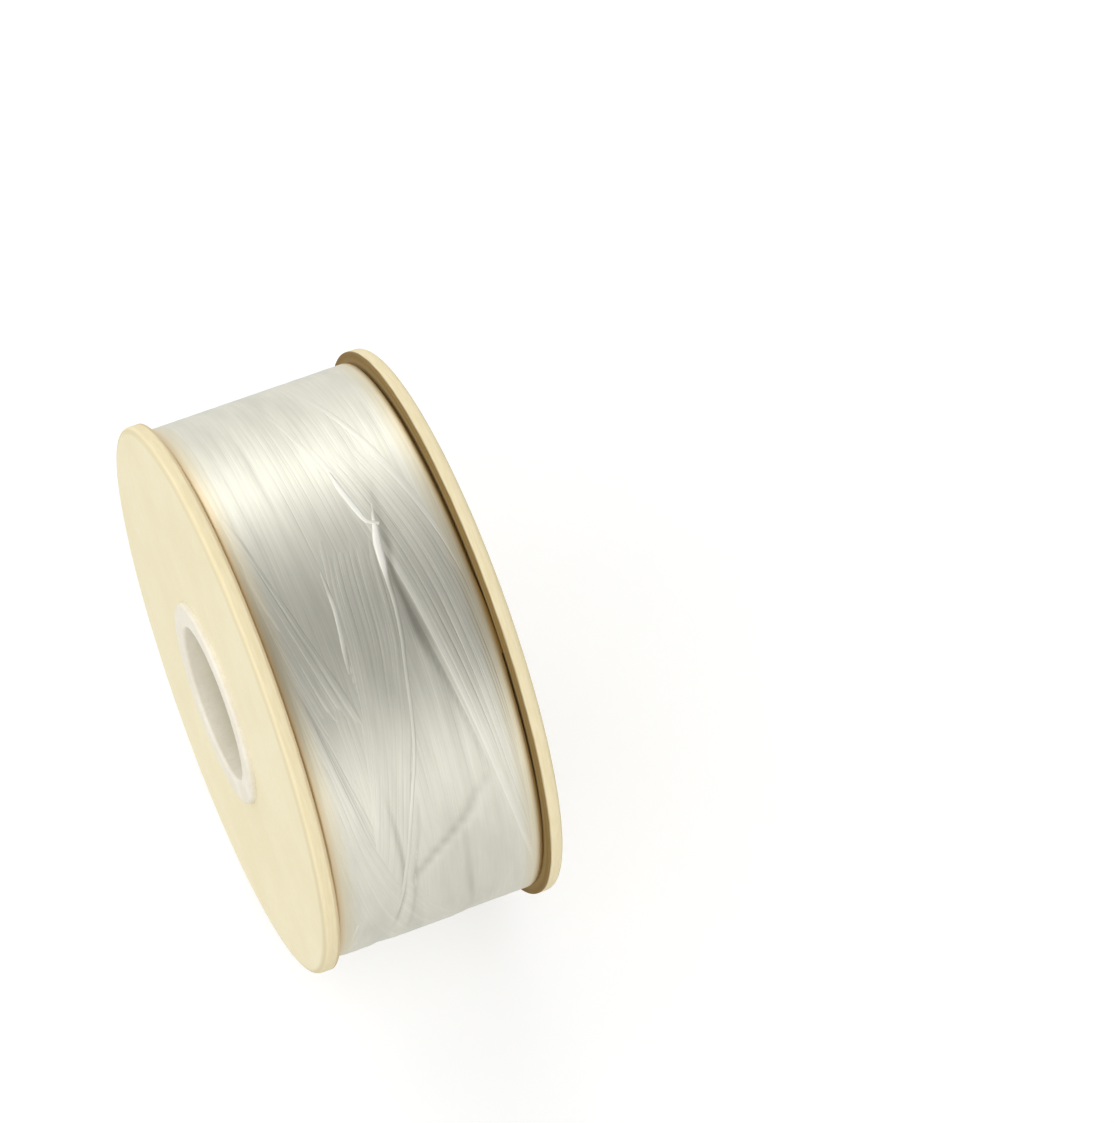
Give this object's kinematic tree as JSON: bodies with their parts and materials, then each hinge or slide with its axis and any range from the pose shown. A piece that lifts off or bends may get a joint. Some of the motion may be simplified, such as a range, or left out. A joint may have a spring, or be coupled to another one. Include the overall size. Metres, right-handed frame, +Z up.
{
  "type": "card-sided thread spool",
  "caption": "Small flat spool with a paper core tube, round card flanges and silvery nylon beading thread wound almost flush with the rims.",
  "frame": {"origin": "on the ground, under the middle of the spool as it stands on the rims of its two flanges", "axes": "+X along the spool's axis from the left flange to the right flange, +Z up"},
  "size_m": [0.0094, 0.0206, 0.0206],
  "materials": {
    "white_paper": "matte",
    "cream_card": "matte",
    "nylon_thread": "satin"
  },
  "bodies": {
    "root": {"core_tube": "white_paper", "left_flange": "cream_card", "right_flange": "cream_card", "thread_pack": "nylon_thread", "thread_turns": "nylon_thread"}
  },
  "joints": []
}
